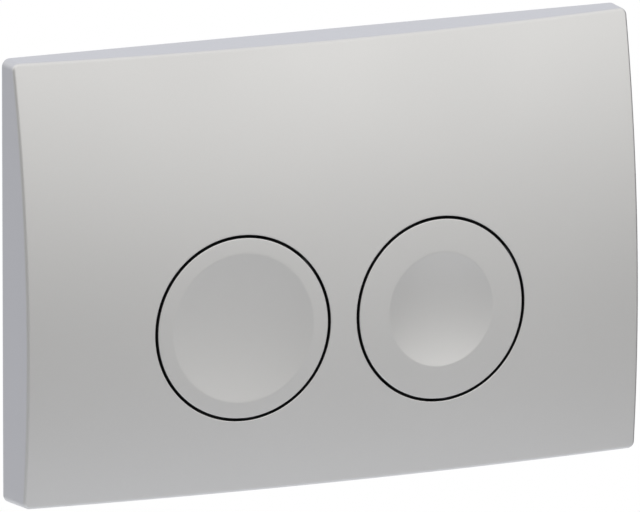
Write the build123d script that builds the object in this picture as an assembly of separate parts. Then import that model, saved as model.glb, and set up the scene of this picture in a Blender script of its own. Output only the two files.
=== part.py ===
from build123d import *
import os
from math import pi, radians, sqrt, tan

# Flush button plate for a concealed cistern, in millimetres.
# X runs to the right, Z up, and the front looks along -Y. The wall's surface is the plane Y = 0,
# and a "depth" is a distance in front of it. The origin is midway between the two distance bolts.

# Plate
plate_width = 246.0
plate_height = 164.0
plate_corner_radius = 3.0
cavity_corner_radius = 1.2
side_draft = 1.75
end_draft = 2.45
plate_wall = 2.4
front_edge_radius = 1.2
hole_edge_radius = 0.3

# Domed face: an upright arc swung about an upright axis far behind the plate
face_depth = 28.1
face_peak_z = -23.9
face_radius_across = 992.0
face_radius_upright = 488.0

# Stiffening ribs behind the face
rib_wall = 1.4
rib_height = 3.5
rib_spacing = 41.0
rib_count = 5
rib_end_gap = 6.0
cross_rib_z = 34.0

# Buttons
button_spacing = 79.0
button_z = -19.9
hole_radius = 34.3
button_gap = 1.0
button_travel = 6.0
button_wall = 2.0
skirt_wall = 1.6
flange_reach = 2.0
flange_thickness = 1.5
button_edge_radius = 0.4
button_rib_count = 6
full_dish_radius = 27.5
full_dish_depth = 1.85
part_dish_radius = 21.2
part_dish_depth = 1.9

# Stem, sleeve and spring, from the face backwards
stem_radius = 7.0
stem_bore_radius = 4.2
stem_tail = 1.2
spring_seat_drop = 4.8
spring_seat_radius = 12.8
spring_length = 11.5
spring_mean_radius = 11.0
spring_wire_radius = 0.6
spring_turns = 4.5
sleeve_wall = 2.4
sleeve_tail = 3.0

# Guide bridge and its screws
bridge_thickness = 3.0
bridge_width = 15.0
bridge_disc_radius = 14.0
bridge_rib_height = 2.0
collar_wall = 2.0
boss_radius = 4.5
boss_gap = 1.0
screw_radius = 1.5
screw_length = 10.0
screw_head_radius = 3.1
screw_head_height = 2.2

# Stem clip
clip_thickness = 0.8
clip_bite = 0.9
clip_width = 2.4
clip_opening = 10.5

# Push rod, its head and lock nut
rod_radius = 3.0
rod_reach = 46.0
rod_point = 1.2
head_radius = 12.0
head_thickness = 2.0
head_hub_radius = 5.5
head_hub_length = 2.5
rod_seat = 1.2
lock_nut_flats = 10.0
lock_nut_thickness = 2.5

# Mounting frame
frame_thickness = 3.0
frame_rim_width = 14.0
frame_corner_radius = 6.0
frame_window_radius = 4.0
frame_lip_height = 3.0
frame_lip_wall = 2.0
frame_bar_width = 16.0
cup_wall = 2.0
cup_floor = 2.0
cup_clearance = 1.5
bush_wall = 2.5
bush_length = 6.0

# Snap latches between frame and cover
latch_spacing = 150.0
latch_width = 12.0
latch_ledge = 1.2
latch_ledge_depth = 7.0
latch_ledge_thickness = 2.0
latch_arm_thickness = 1.8
latch_barb = 0.9
latch_barb_length = 2.2

# Distance bolts
bolt_spacing = 178.0
bolt_radius = 5.0
bolt_length = 38.0
bolt_neck_radius = 3.5
bolt_neck_stub = 2.0
bolt_slot_width = 1.4
bolt_slot_depth = 1.5
bolt_boss_radius = 9.0
bolt_boss_height = 4.0
bolt_nut_flats = 13.0
bolt_nut_thickness = 4.0

# Clearances
guide_clearance = 0.3
slide_clearance = 0.07
fit_clearance = 0.05
seat_clearance = 0.1
stop_clearance = 0.5
frame_clearance = 1.6

# How far a cutting block runs past what it cuts
overrun = 1.0

button_radius = hole_radius - button_gap
flange_radius = button_radius + flange_reach
guide_radius = flange_radius + guide_clearance
button_x = button_spacing / 2
bridge_half = guide_radius + collar_wall + boss_gap + boss_radius


def depth_plane(depth, x=0.0, z=0.0):
    """Plane parallel to the wall at a depth, seen from the front: X to the right and Z up."""
    return Plane(origin=(x, -depth, z), x_dir=(1, 0, 0), z_dir=(0, -1, 0))


def bar(sketch, x, z, rear, front):
    """A flat outline carried straight forward from one depth to another."""
    return extrude(depth_plane(rear, x, z) * sketch, amount=front - rear)


def disc(radius, x, z, rear, front):
    return bar(Circle(radius), x, z, rear, front)


def tube(outer, inner, x, z, rear, front):
    return disc(outer, x, z, rear, front) - disc(inner, x, z, rear, front)


def hex_nut(flats, bore, x, z, rear, front):
    """Six-sided nut, with the bore's radius and the distance across its flats."""
    outline = RegularPolygon(flats / 2, 6, major_radius=False)
    return bar(outline - Circle(bore), x, z, rear, front)


def drafted_block(inset, corner_radius, rear, front):
    """Rounded block that narrows towards the front by the draft of the mould, corners included."""
    sections = []
    for depth in (rear, front):
        side_taper = depth * tan(radians(side_draft))
        width = plate_width - 2 * (inset + side_taper)
        height = plate_height - 2 * (inset + depth * tan(radians(end_draft)))
        outline = RectangleRounded(width, height, corner_radius - side_taper)
        sections.append(depth_plane(depth) * outline)
    return loft(sections)


def face_depth_at(x, z, inset=0.0):
    """Depth of the domed face, or of the surface that lies an inset behind it."""
    rise = sqrt((face_radius_upright - inset) ** 2 - (z - face_peak_z) ** 2)
    swing = face_radius_across - face_radius_upright + rise
    return face_depth - face_radius_across + sqrt(swing**2 - x**2)


def swung_block(x, points, end_depth, axis_depth, reach):
    """Block whose curved face is an upright arc through three (depth, z) points at x, swung to
    both sides about an upright axis at another depth. The block ends flat at end_depth."""
    low, middle, high = [(x, -depth, z) for depth, z in points]
    far_high = (x, -end_depth, points[2][1])
    far_low = (x, -end_depth, points[0][1])
    outline = ThreePointArc(low, middle, high) + Polyline(high, far_high, far_low, low)
    half_angle = reach / abs(axis_depth - end_depth) * 180 / pi
    axis = Axis((x, -axis_depth, 0), (0, 0, 1))
    section = make_face(outline).rotate(axis, -half_angle)
    return revolve(section, axis, 2 * half_angle)


def dome(inset):
    """Everything behind the domed face, or behind the surface an inset behind it."""
    half = plate_height / 2 + overrun
    points = [(face_depth_at(0, z, inset), z) for z in (-half, face_peak_z, half)]
    axis_depth = face_depth - face_radius_across
    return swung_block(0, points, -2 * overrun, axis_depth, plate_width / 2 + overrun)


def dish(x, radius, depth, offset=0.0):
    """Round block in front of a dish, or in front of the surface an offset behind it. Its curvature
    is the dish's own less the face's, so that it meets the domed face on a true circle."""
    own = 2 * depth / radius**2
    across = own - 1 / face_radius_across
    vertex_x = x * own / across
    half = radius + button_wall
    points = []
    for z in (button_z - half, button_z, button_z + half):
        spread = (vertex_x - x) ** 2 + (z - button_z) ** 2
        points.append((face_depth_at(vertex_x, z) - depth + own / 2 * spread - offset, z))
    axis_depth = points[1][0] + 1 / across
    reach = abs(vertex_x - x) + half
    block = swung_block(vertex_x, points, face_depth + overrun, axis_depth, reach)
    return block & disc(half, x, button_z, 0, face_depth + overrun)


def layout(x):
    """Depths of the pieces behind one button, counted back from the face at its centre."""
    seat = face_depth_at(x, button_z) - spring_seat_drop
    bridge_front = seat - spring_length
    bridge_rear = bridge_front - bridge_thickness
    sleeve_rear = bridge_rear - sleeve_tail
    clip_front = sleeve_rear - seat_clearance
    clip_rear = clip_front - clip_thickness
    stem_end = clip_rear - seat_clearance - stem_tail
    head_front = stem_end - seat_clearance
    hub_rear = head_front - head_thickness - head_hub_length
    nut_rear = hub_rear - lock_nut_thickness
    floor_front = nut_rear - button_travel - stop_clearance
    return {
        "seat": seat,
        "sleeve_front": seat - button_travel - stop_clearance,
        "bridge_front": bridge_front,
        "bridge_rear": bridge_rear,
        "sleeve_rear": sleeve_rear,
        "clip_front": clip_front,
        "clip_rear": clip_rear,
        "stem_end": stem_end,
        "head_front": head_front,
        "hub_rear": hub_rear,
        "nut_rear": nut_rear,
        "floor_front": floor_front,
        "floor_rear": floor_front - cup_floor,
        "skirt_rear": bridge_front + button_travel + stop_clearance,
        "collar_rear": bridge_front + stop_clearance,
    }


def boss_places(x):
    return [(x, button_z - bridge_half), (x, button_z + bridge_half)]


def latch_places():
    """Side (-1 bottom, 1 top) and x of each latch."""
    return [(side, x) for side in (-1, 1) for x in (-latch_spacing / 2, latch_spacing / 2)]


def inner_wall_z(depth):
    return plate_height / 2 - plate_wall - depth * tan(radians(end_draft))


def cover_body(inset, corner_radius, rear):
    """The plate's outline, drafted and domed, drawn in on every side by an inset."""
    return drafted_block(inset, corner_radius, rear, face_depth + overrun) & dome(inset)


def cover_ribs():
    """Ribs that follow the inside of the face: one across, and a row from it towards the top."""
    top = inner_wall_z(0) - rib_end_gap
    outlines = [Pos(0, cross_rib_z) * Rectangle(plate_width, rib_wall)]
    for i in range(rib_count):
        x = (i - (rib_count - 1) / 2) * rib_spacing
        outlines.append(Pos(x, (cross_rib_z + top) / 2) * Rectangle(rib_wall, top - cross_rib_z))
    return bar(Sketch() + outlines, 0, 0, 0, face_depth) - dome(plate_wall + rib_height)


def cover_ledge(side, x):
    """Ledge on the top or bottom wall that a latch of the frame snaps behind."""
    inner = inner_wall_z(latch_ledge_depth) - latch_ledge
    height = latch_ledge + plate_wall / 2
    rear = latch_ledge_depth - latch_ledge_thickness
    ledge = Rectangle(latch_width, height)
    return bar(ledge, x, side * (inner + height / 2), rear, latch_ledge_depth)


def cover_collar(x):
    """Collar behind a hole, in which the button's flange slides."""
    rear = layout(x)["collar_rear"]
    return tube(guide_radius + collar_wall, guide_radius, x, button_z, rear, face_depth)


def cover_boss(x, z):
    """Boss for one of the screws that hold a button's guide bridge."""
    return disc(boss_radius, x, z, layout(x)["bridge_front"], face_depth)


def front_edges(solid):
    """Edges of the face that lies furthest forward."""
    return solid.faces().sort_by(Axis.Y)[0].edges()


def front_cover():
    """The moulding: a drafted, domed shell with its two holes and all that stands inside it."""
    outer = cover_body(0, plate_corner_radius, 0)
    outer = fillet(front_edges(outer), front_edge_radius)
    cover = outer - cover_body(plate_wall, cavity_corner_radius, -overrun)
    fittings = [cover_ribs()] + [cover_ledge(side, x) for side, x in latch_places()]
    for x in (-button_x, button_x):
        cover -= disc(hole_radius, x, button_z, 0, face_depth + overrun)
        fittings.append(cover_collar(x))
        fittings += [cover_boss(boss_x, boss_z) for boss_x, boss_z in boss_places(x)]
    lips = [e for e in front_edges(cover) if abs(e.length / (2 * pi) - hole_radius) < overrun]
    cover = fillet(lips, hole_edge_radius)
    root = cover_body(plate_wall / 2, cavity_corner_radius, 0)
    cover += [fitting & root for fitting in fittings]
    pilot = screw_radius + fit_clearance
    for x in (-button_x, button_x):
        rear = layout(x)["bridge_rear"]
        for boss_x, boss_z in boss_places(x):
            cover -= disc(pilot, boss_x, boss_z, rear, rear + screw_length + seat_clearance)
    return cover


def button(x, dish_radius, dish_depth):
    """Cap that carries on the plate's face, with its dish, flanged skirt, ribs and stem."""
    at = layout(x)
    skirt_rear, seat, stem_end = at["skirt_rear"], at["seat"], at["stem_end"]
    inner_radius = button_radius - skirt_wall
    body = disc(button_radius, x, button_z, skirt_rear, face_depth + overrun) & dome(0)
    body = fillet(front_edges(body), button_edge_radius) - dish(x, dish_radius, dish_depth)
    room = disc(inner_radius, x, button_z, skirt_rear, face_depth) & dome(button_wall)
    under = dish(x, dish_radius, dish_depth, button_wall / 2)
    body -= room - dish(x, dish_radius, dish_depth, button_wall)
    spoke = Pos(inner_radius / 2, 0) * Rectangle(inner_radius + skirt_wall, rib_wall)
    turns = [(i + 0.5) * 360 / button_rib_count for i in range(button_rib_count)]
    ribs = Sketch() + [Rot(0, 0, turn) * spoke for turn in turns] + Circle(spring_seat_radius)
    body += [
        bar(ribs, x, button_z, seat, face_depth) & dome(button_wall / 2) - under,
        tube(flange_radius, inner_radius, x, button_z, skirt_rear, skirt_rear + flange_thickness),
        disc(stem_radius, x, button_z, stem_end, seat + spring_seat_drop / 4),
    ]
    body -= disc(stem_bore_radius, x, button_z, stem_end, seat)
    groove_rear = at["clip_rear"] - seat_clearance
    groove_front = at["clip_front"] + seat_clearance / 2
    inner = stem_radius - clip_bite
    return body - tube(stem_radius + overrun, inner, x, button_z, groove_rear, groove_front)


def guide_bridge(x):
    """Bar across the back of a hole, with the sleeve that guides the stem."""
    at = layout(x)
    front, rear = at["bridge_front"], at["bridge_rear"]
    outline = SlotCenterToCenter(2 * bridge_half, bridge_width, rotation=90)
    bridge = bar(outline + Circle(bridge_disc_radius), x, button_z, rear, front)
    rib_run = 2 * (bridge_half - screw_head_radius - boss_gap)
    for side in (-1, 1):
        rib_x = side * (bridge_width - rib_wall) / 2
        rib = Pos(rib_x, 0) * Rectangle(rib_wall, rib_run)
        bridge += bar(rib, x, button_z, rear - bridge_rib_height, rear)
    bore = stem_radius + slide_clearance
    sleeve = disc(bore + sleeve_wall, x, button_z, at["sleeve_rear"], at["sleeve_front"])
    bridge += sleeve
    bridge -= disc(bore, x, button_z, at["sleeve_rear"], at["sleeve_front"])
    for boss_x, boss_z in boss_places(x):
        hole = screw_radius + fit_clearance
        bridge -= disc(hole, boss_x, boss_z, rear, front)
    return bridge


def bridge_screw(x, z, head_front):
    """Pan-head self-tapping screw, driven forward into a boss, with a cross recess."""
    recess = screw_head_height / 2
    screw = disc(screw_head_radius, x, z, head_front - screw_head_height, head_front)
    rim = screw.edges().filter_by(GeomType.CIRCLE).sort_by(Axis.Y)[-1]
    screw = fillet(rim, screw_head_height / 3)
    shank = disc(screw_radius, x, z, head_front, head_front + screw_length)
    tip = shank.edges().filter_by(GeomType.CIRCLE).sort_by(Axis.Y)[0]
    screw += chamfer(tip, screw_radius / 2)
    cross = Rectangle(screw_head_radius, screw_radius / 2)
    cross += Rectangle(screw_radius / 2, screw_head_radius)
    rear = head_front - screw_head_height
    return screw - bar(cross, x, z, rear, rear + recess)


def bridge_screws():
    screws = []
    for x in (-button_x, button_x):
        for boss_x, boss_z in boss_places(x):
            screws.append(bridge_screw(boss_x, boss_z, layout(x)["bridge_rear"]))
    return Compound(screws)


def spring(x):
    """Compression spring with both ends ground flat, between the bridge and the button."""
    at = layout(x)
    rear = at["bridge_front"] + seat_clearance
    front = at["seat"] - seat_clearance
    path = Helix(
        (front - rear) / spring_turns,
        front - rear,
        spring_mean_radius,
        center=(x, -rear, button_z),
        direction=(0, -1, 0),
    )
    section = Plane(origin=path @ 0, z_dir=path % 0) * Circle(spring_wire_radius)
    coil = sweep(section, path=path, is_frenet=True)
    return coil & disc(2 * spring_mean_radius, x, button_z, rear, front)


def stem_clip(x):
    """Open ring that drops into the groove of the stem, with its gap at the bottom."""
    at = layout(x)
    inner = stem_radius - clip_bite + fit_clearance
    outline = Circle(inner + clip_width) - Circle(inner)
    outline -= Pos(0, -inner - clip_width) * Rectangle(clip_opening, 2 * (inner + clip_width))
    return bar(outline, x, button_z, at["clip_rear"], at["clip_front"])


def rod_head(x):
    """Disc that the stem pushes, with a hub that screws on the rod."""
    at = layout(x)
    front, rear = at["head_front"], at["hub_rear"]
    head = disc(head_radius, x, button_z, front - head_thickness, front)
    head += disc(head_hub_radius, x, button_z, rear, front)
    return head - disc(rod_radius + fit_clearance, x, button_z, rear, front - rod_seat)


def push_rod(x):
    at = layout(x)
    rod = disc(rod_radius, x, button_z, -rod_reach, at["head_front"] - rod_seat)
    tip = rod.edges().filter_by(GeomType.CIRCLE).sort_by(Axis.Y)[-1]
    return chamfer(tip, rod_point)


def lock_nut(x):
    at = layout(x)
    bore = rod_radius + fit_clearance
    return hex_nut(lock_nut_flats, bore, x, button_z, at["nut_rear"], at["hub_rear"])


def frame_outline(half_width, half_height):
    """Rim, the beam between the distance bolts and the two upright bars."""
    rim = RectangleRounded(2 * half_width, 2 * half_height, frame_corner_radius)
    rim -= RectangleRounded(
        2 * (half_width - frame_rim_width),
        2 * (half_height - frame_rim_width),
        frame_window_radius,
    )
    rim += Rectangle(2 * half_width - frame_rim_width, frame_bar_width)
    for x in (-button_x, button_x):
        rim += Pos(x, 0) * Rectangle(frame_bar_width, 2 * half_height - frame_rim_width)
    return rim


def latch_arm(side, x, half_height):
    """Springy arm whose barb snaps in front of the ledge in the cover."""
    barb_rear = latch_ledge_depth + seat_clearance
    tip = barb_rear + latch_barb_length
    outer = inner_wall_z(latch_ledge_depth) - latch_ledge - seat_clearance
    inner = outer - latch_arm_thickness
    arm = Rectangle(latch_width, latch_arm_thickness)
    solid = bar(arm, x, side * (inner + outer) / 2, 0, tip)
    hook = [(outer, barb_rear), (outer + latch_barb, barb_rear), (outer, tip)]
    corners = [(x - latch_width / 2, -depth, side * z) for z, depth in hook]
    wedge = make_face(Polyline(*corners, close=True))
    return solid + extrude(wedge, amount=latch_width, dir=(1, 0, 0))


def mounting_frame():
    half_width = plate_width / 2 - plate_wall - frame_clearance
    half_height = plate_height / 2 - plate_wall - frame_clearance
    frame = bar(frame_outline(half_width, half_height), 0, 0, 0, frame_thickness)
    lip = RectangleRounded(2 * half_width, 2 * half_height, frame_corner_radius)
    lip -= RectangleRounded(
        2 * (half_width - frame_lip_wall),
        2 * (half_height - frame_lip_wall),
        frame_window_radius,
    )
    frame += bar(lip, 0, 0, frame_thickness, frame_thickness + frame_lip_height)
    cup_radius = head_radius + cup_clearance
    bush_radius = rod_radius + slide_clearance
    for x in (-button_x, button_x):
        at = layout(x)
        floor_rear = at["floor_rear"]
        frame += disc(cup_radius + cup_wall, x, button_z, floor_rear, frame_thickness)
        bush_rear = floor_rear - bush_length
        frame += disc(bush_radius + bush_wall, x, button_z, bush_rear, floor_rear)
        frame -= disc(cup_radius, x, button_z, at["floor_front"], frame_thickness)
        frame -= disc(bush_radius, x, button_z, bush_rear, at["floor_front"])
    boss_front = frame_thickness + bolt_boss_height
    neck_hole = bolt_neck_radius + fit_clearance
    for x in (-bolt_spacing / 2, bolt_spacing / 2):
        frame += disc(bolt_boss_radius, x, 0, 0, boss_front)
        frame -= disc(neck_hole, x, 0, 0, boss_front)
    for side, x in latch_places():
        frame += latch_arm(side, x, half_height)
    return frame


def distance_bolt(x):
    """Stud with a shoulder: the frame's boss seats on it, and the neck takes the nut."""
    tip = frame_thickness + bolt_boss_height + bolt_nut_thickness + bolt_neck_stub
    bolt = disc(bolt_radius, x, 0, -bolt_length, 0)
    rear = bolt.edges().filter_by(GeomType.CIRCLE).sort_by(Axis.Y)[-1]
    bolt = chamfer(rear, bolt_radius - bolt_neck_radius)
    bolt += disc(bolt_neck_radius, x, 0, 0, tip)
    slot = Rectangle(2 * bolt_neck_radius, bolt_slot_width)
    return bolt - bar(slot, x, 0, tip - bolt_slot_depth, tip)


def distance_bolt_nuts():
    rear = frame_thickness + bolt_boss_height
    front = rear + bolt_nut_thickness
    bore = bolt_neck_radius + fit_clearance
    places = (-bolt_spacing / 2, bolt_spacing / 2)
    return Compound([hex_nut(bolt_nut_flats, bore, x, 0, rear, front) for x in places])


pieces = {
    "front_cover": front_cover(),
    "full_flush_button": button(-button_x, full_dish_radius, full_dish_depth),
    "part_flush_button": button(button_x, part_dish_radius, part_dish_depth),
    "bridge_screws": bridge_screws(),
    "mounting_frame": mounting_frame(),
    "distance_bolt_left": distance_bolt(-bolt_spacing / 2),
    "distance_bolt_right": distance_bolt(bolt_spacing / 2),
    "distance_bolt_nuts": distance_bolt_nuts(),
}
for name, x in (("full_flush", -button_x), ("part_flush", button_x)):
    pieces[name + "_guide_bridge"] = guide_bridge(x)
    pieces[name + "_spring"] = spring(x)
    pieces[name + "_stem_clip"] = stem_clip(x)
    pieces[name + "_push_rod"] = push_rod(x)
    pieces[name + "_rod_head"] = rod_head(x)
    pieces[name + "_lock_nut"] = lock_nut(x)

os.makedirs("parts", exist_ok=True)
for name, solid in pieces.items():
    export_step(solid, f"parts/{name}.step")
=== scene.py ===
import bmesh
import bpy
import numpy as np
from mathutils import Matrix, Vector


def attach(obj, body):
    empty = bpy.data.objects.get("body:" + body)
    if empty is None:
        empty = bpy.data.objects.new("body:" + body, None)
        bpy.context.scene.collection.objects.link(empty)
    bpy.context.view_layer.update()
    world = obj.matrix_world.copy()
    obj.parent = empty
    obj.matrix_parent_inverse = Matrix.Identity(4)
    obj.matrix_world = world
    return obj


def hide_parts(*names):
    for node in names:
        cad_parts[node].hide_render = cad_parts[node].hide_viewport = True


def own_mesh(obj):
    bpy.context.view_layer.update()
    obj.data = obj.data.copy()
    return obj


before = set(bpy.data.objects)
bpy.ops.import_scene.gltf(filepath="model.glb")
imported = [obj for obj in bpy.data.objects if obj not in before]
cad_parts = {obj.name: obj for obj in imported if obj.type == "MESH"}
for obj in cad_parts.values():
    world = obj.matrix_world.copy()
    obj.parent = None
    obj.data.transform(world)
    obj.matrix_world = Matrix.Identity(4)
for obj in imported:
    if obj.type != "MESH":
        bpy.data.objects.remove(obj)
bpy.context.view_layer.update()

# %% [markdown]
# # A dual flush plate in satin silver
#
# This is the plate that covers the service opening of a cistern behind a wall. It has a wide cover,
# domed both ways, and two round buttons that carry on its curve, each with a shallow dish. Behind
# them are sprung guides, push rods and the frame that clips the cover to the wall.
#
# The CAD model is already loaded, in metres, with +X to the right, +Z up and +Y into the wall.

MM = 0.001

# %% [markdown]
# ## Colours
#
# A colour is written as the hex value that a painter reads off a screen. Blender's shaders work with
# linear light, so one function turns the first into the second.

# %% Colours


def colour(hex_value):
    """Linear colour of an sRGB hex value: each channel is divided by 255, and then either divided by
    12.92 where it is small, or shifted, scaled and raised to the power 2.4."""
    channels = np.array([int(hex_value[i : i + 2], 16) for i in (1, 3, 5)]) / 255
    low, high = channels / 12.92, ((channels + 0.055) / 1.055) ** 2.4
    return (*np.where(channels <= 0.04045, low, high).tolist(), 1.0)


print("Mid grey #808080 is", round(colour("#808080")[0], 3), "in linear light")

# %% [markdown]
# ## Materials
#
# Every material is a small tree of nodes. A helper adds one node, sets its values and joins its
# inputs, which keeps each tree to a few readable lines.

# %% A helper for nodes


def add_node(tree, kind, settings=None, values=None, links=None):
    """Add a node, with attributes from settings, socket numbers from values, and links from sockets."""
    node = tree.nodes.new(kind)
    for name, setting in (settings or {}).items():
        setattr(node, name, setting)
    for name, value in (values or {}).items():
        node.inputs[name].default_value = value
    for name, socket in (links or {}).items():
        tree.links.new(socket, node.inputs[name])
    return node


def new_material(name):
    """Empty material with an output, and the coordinates of the object in metres."""
    material = bpy.data.materials.new(name)
    material.use_nodes = True
    material.node_tree.nodes.clear()
    place = add_node(material.node_tree, "ShaderNodeTexCoord").outputs["Object"]
    return material, material.node_tree, place


def per_metre(size_in_mm):
    """Scale of a noise whose grains are about this many millimetres across."""
    return 1 / (size_in_mm * MM)


print("A grain of 0.25 mm takes a noise scale of", round(per_metre(0.25)))

# %% [markdown]
# ### Satin silver lacquer on moulded ABS
#
# The cover and the buttons are moulded in ABS and sprayed with a silver lacquer: fine aluminium
# flakes in a clear binder. The eye gets a soft, wide highlight that follows the curve, and hardly any
# grain. The flakes lie nearly flat, so it behaves like rough metal. Real flakes are 0.02 mm across;
# they are drawn here at 0.25 mm, the finest that the picture can show.

# %% Satin silver lacquer


def satin_silver_lacquer():
    """Rough metal with fine flakes in two near colours, and a gloss that drifts slowly."""
    material, tree, place = new_material("satin_silver_lacquer_on_moulded_abs")
    flakes = add_node(tree, "ShaderNodeTexNoise", values={
        "Scale": per_metre(0.25), "Detail": 2.0, "Roughness": 0.5}, links={"Vector": place})
    cloud = add_node(tree, "ShaderNodeTexNoise", values={
        "Scale": per_metre(60), "Detail": 1.0, "Roughness": 0.4}, links={"Vector": place})
    tint = add_node(tree, "ShaderNodeMix", {"data_type": "RGBA"}, links={"Factor": flakes.outputs["Fac"]})
    tint.inputs["A"].default_value = colour("#cbcac8")
    tint.inputs["B"].default_value = colour("#d1d0ce")
    gloss = add_node(tree, "ShaderNodeMapRange", values={
        "From Min": 0.3, "From Max": 0.7, "To Min": 0.39, "To Max": 0.42},
        links={"Value": cloud.outputs["Fac"]})
    grain = add_node(tree, "ShaderNodeBump", values={"Strength": 0.03, "Distance": 0.02 * MM},
                     links={"Height": flakes.outputs["Fac"]})
    lacquer = add_node(tree, "ShaderNodeBsdfPrincipled", values={"Metallic": 0.85}, links={
        "Base Color": tint.outputs["Result"], "Roughness": gloss.outputs["Result"],
        "Normal": grain.outputs["Normal"]})
    add_node(tree, "ShaderNodeOutputMaterial", links={"Surface": lacquer.outputs["BSDF"]})
    return material


silver = satin_silver_lacquer()
print("Made", silver.name)

# %% [markdown]
# ### Moulded plastics
#
# The frame is white ABS with the fine grain of a spark-eroded mould. The cover and the buttons are
# moulded in charcoal ABS: the lacquer stops at the edges of the holes and behind the rims, so their
# insides stay charcoal. That charcoal is also painted shade: it keeps the narrow gap round each
# button dark. The guides and the rods' heads are acetal, a slippery plastic with a waxy sheen, in
# grey and blue. The rods are natural acetal, and the distance bolts black nylon. All are dielectrics
# of an index near 1.5, and differ in colour, in roughness and in how coarse the mould's grain is.

# %% Moulded plastics


def moulded_plastic(name, base, shade, roughness, grain_mm, relief_mm, ior):
    """Plastic whose mould left a grain of a size and depth, with a slow drift between two colours."""
    material, tree, place = new_material(name)
    mould = add_node(tree, "ShaderNodeTexNoise", values={
        "Scale": per_metre(grain_mm), "Detail": 2.0}, links={"Vector": place})
    drift = add_node(tree, "ShaderNodeTexNoise", values={
        "Scale": per_metre(35), "Detail": 2.0}, links={"Vector": place})
    tint = add_node(tree, "ShaderNodeMix", {"data_type": "RGBA"}, links={"Factor": drift.outputs["Fac"]})
    tint.inputs["A"].default_value = colour(base)
    tint.inputs["B"].default_value = colour(shade)
    gloss = add_node(tree, "ShaderNodeMapRange", values={
        "From Min": 0.3, "From Max": 0.7, "To Min": roughness - 0.04, "To Max": roughness + 0.04},
        links={"Value": drift.outputs["Fac"]})
    grain = add_node(tree, "ShaderNodeBump", values={"Strength": 0.3, "Distance": relief_mm * MM},
                     links={"Height": mould.outputs["Fac"]})
    plastic = add_node(tree, "ShaderNodeBsdfPrincipled", values={"IOR": ior}, links={
        "Base Color": tint.outputs["Result"], "Roughness": gloss.outputs["Result"],
        "Normal": grain.outputs["Normal"]})
    add_node(tree, "ShaderNodeOutputMaterial", links={"Surface": plastic.outputs["BSDF"]})
    return material


white_abs = moulded_plastic("white_abs_spark_eroded_grain", "#dcdbd6", "#e2e1dc", 0.45, 0.5, 0.02, 1.54)
grey_acetal = moulded_plastic("grey_acetal_moulded", "#86898c", "#8f9295", 0.32, 1.2, 0.01, 1.48)
blue_acetal = moulded_plastic("blue_acetal_moulded", "#2c5c93", "#33669f", 0.30, 1.2, 0.01, 1.48)
rod_acetal = moulded_plastic("natural_acetal_extruded", "#dedcd0", "#e6e4da", 0.34, 0.9, 0.01, 1.48)
black_nylon = moulded_plastic("black_nylon_moulded", "#1d1d1e", "#242426", 0.38, 0.8, 0.015, 1.53)
# Charcoal for the bare insides of the cover and the buttons, and painted shade that keeps the gap round
# each button dark
bare_abs_and_gap_shade = moulded_plastic("charcoal_abs_bare_and_painted_shade", "#1c1d1e", "#222324", 0.45, 0.5, 0.02, 1.54)
print("Materials in the file so far, with the CAD model's own:", len(bpy.data.materials))

# %% [markdown]
# ### Steel
#
# The springs and clips are spring steel, drawn or stamped, which leaves fine lines along it. The
# screws are zinc plated, a brighter and bluer grey with faint clouds.

# %% Steel


def steel(name, base, shade, roughness, streak_mm, patch_mm):
    """Metal with streaks along Y and soft patches, between two colours and two roughnesses."""
    material, tree, place = new_material(name)
    stretch = add_node(tree, "ShaderNodeMapping", values={"Scale": (1.0, 0.15, 1.0)},
                       links={"Vector": place})
    streaks = add_node(tree, "ShaderNodeTexNoise", values={
        "Scale": per_metre(streak_mm), "Detail": 3.0}, links={"Vector": stretch.outputs["Vector"]})
    patches = add_node(tree, "ShaderNodeTexNoise", values={
        "Scale": per_metre(patch_mm), "Detail": 2.0}, links={"Vector": place})
    tint = add_node(tree, "ShaderNodeMix", {"data_type": "RGBA"}, links={"Factor": patches.outputs["Fac"]})
    tint.inputs["A"].default_value = colour(base)
    tint.inputs["B"].default_value = colour(shade)
    gloss = add_node(tree, "ShaderNodeMapRange", values={
        "From Min": 0.3, "From Max": 0.7, "To Min": roughness - 0.05, "To Max": roughness + 0.08},
        links={"Value": streaks.outputs["Fac"]})
    grain = add_node(tree, "ShaderNodeBump", values={"Strength": 0.25, "Distance": 0.01 * MM},
                     links={"Height": streaks.outputs["Fac"]})
    metal = add_node(tree, "ShaderNodeBsdfPrincipled", values={"Metallic": 1.0}, links={
        "Base Color": tint.outputs["Result"], "Roughness": gloss.outputs["Result"],
        "Normal": grain.outputs["Normal"]})
    add_node(tree, "ShaderNodeOutputMaterial", links={"Surface": metal.outputs["BSDF"]})
    return material


spring_steel = steel("spring_steel_drawn", "#a9a8a6", "#b8b7b4", 0.28, 0.15, 3.0)
zinc_plate = steel("steel_bright_zinc_plated", "#c6cace", "#b9c0c8", 0.24, 0.3, 1.5)
print("Made", spring_steel.name, "and", zinc_plate.name)

# %% [markdown]
# ## The domed face
#
# The face is an upright arc swung about an upright axis far behind the plate. Every piece of the
# front follows it, so it is one function of x and z. With an inset it gives the surface that lies
# that far behind, because both radii shrink by the same amount.

# %% The domed face
PLATE_WIDTH, PLATE_HEIGHT = 246.0, 164.0
FACE_DEPTH, FACE_PEAK_Z = 28.1, -23.9
RADIUS_ACROSS, RADIUS_UPRIGHT = 992.0, 488.0


def face_depth(x, z, inset=0.0):
    """Depth in front of the wall: the upright arc's rise at z is the root of its radius squared less
    the height squared, and the swing about the far axis does the same again with x."""
    rise = np.sqrt((RADIUS_UPRIGHT - inset) ** 2 - (z - FACE_PEAK_Z) ** 2)
    swing = RADIUS_ACROSS - RADIUS_UPRIGHT + rise
    return FACE_DEPTH - RADIUS_ACROSS + np.sqrt(swing**2 - x**2)


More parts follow.
